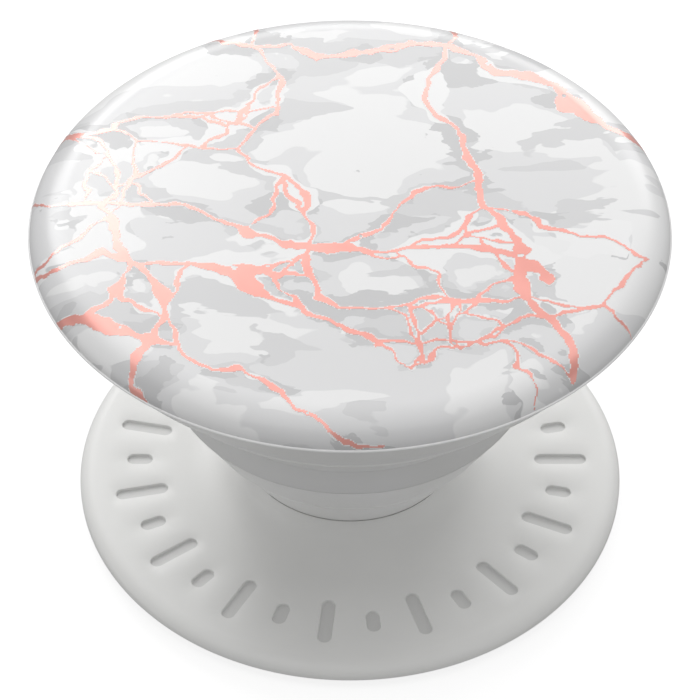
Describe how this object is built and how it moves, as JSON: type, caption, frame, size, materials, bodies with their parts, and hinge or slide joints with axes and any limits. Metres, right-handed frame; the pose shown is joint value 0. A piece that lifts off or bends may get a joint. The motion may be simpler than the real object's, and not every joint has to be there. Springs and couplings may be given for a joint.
{
  "type": "collapsible phone grip",
  "caption": "Round phone grip and stand: a decorated cap on a folding neck that pops out from a flared adhesive platform and collapses flat.",
  "frame": {"origin": "centre of the adhesive face, in the plane of the phone's back", "axes": "+Z away from the phone along the neck's axis, towards the cap; -Y is the front"},
  "size_m": [0.0398, 0.0398, 0.0251],
  "materials": {
    "gel": "tacky washable gel, satin",
    "foam": "closed-cell foam, matte",
    "bond_film": "thin film tape, satin",
    "hard_grey_plastic": "moulded warm light grey, fine satin",
    "neck_plastic": "moulded mid grey, satin",
    "neck_elastomer": "soft moulded elastomer, warm light grey, satin",
    "cap_plastic": "moulded warm light grey, satin",
    "print": "printed pale stone pattern with rose-gold foil veins",
    "clear_coat": "clear gloss coat"
  },
  "bodies": {
    "platform": {"pad_gel": "gel", "pad_foam": "foam", "pad_bond_film": "bond_film", "base_cover": "hard_grey_plastic", "platform_disc": "hard_grey_plastic"},
    "neck_foot": {"foot_ring": "neck_plastic", "lower_inner_wall": "neck_elastomer"},
    "lower_crease": {"lower_crease_ring": "neck_elastomer", "lower_outer_wall": "neck_elastomer"},
    "neck_middle": {"middle_ring": "neck_elastomer", "upper_inner_wall": "neck_elastomer"},
    "upper_crease": {"upper_crease_ring": "neck_elastomer", "upper_outer_wall": "neck_elastomer"},
    "neck_head": {"head_flange": "neck_elastomer", "socket_plate": "neck_plastic"},
    "cap": {"twist_key": "cap_plastic", "cap_backplate": "cap_plastic", "cap_shell": "cap_plastic", "printed_film": "print", "clear_coat": "clear_coat"}
  },
  "joints": [
    {"name": "neck_swivel", "type": "hinge", "parent": "platform", "child": "neck_foot", "pos_m": [0, 0, 0.002], "axis": [0, 0, 1], "continuous": true},
    {"name": "lower_stage_fold", "type": "slide", "parent": "neck_foot", "child": "lower_crease", "axis": [0, 0, -1], "range_m": [0, 0.0035], "deforming": ["lower_inner_wall"]},
    {"name": "lower_stage_press", "type": "slide", "parent": "lower_crease", "child": "neck_middle", "axis": [0, 0, -1], "range_m": [0, 0.00585], "deforming": ["lower_outer_wall"]},
    {"name": "upper_stage_fold", "type": "slide", "parent": "neck_middle", "child": "upper_crease", "axis": [0, 0, -1], "range_m": [0, 0.00455], "deforming": ["upper_inner_wall"]},
    {"name": "upper_stage_press", "type": "slide", "parent": "upper_crease", "child": "neck_head", "axis": [0, 0, -1], "range_m": [0, 0.0043], "deforming": ["upper_outer_wall"]},
    {"name": "cap_turn", "type": "hinge", "parent": "neck_head", "child": "cap", "pos_m": [0, 0, 0.0235], "axis": [0, 0, 1], "range_deg": [0, 90]}
  ],
  "couplings": [
    {"joint": "lower_stage_fold", "follows": "lower_stage_press", "ratio": 0.59829},
    {"joint": "upper_stage_fold", "follows": "upper_stage_press", "ratio": 1.0581}
  ]
}
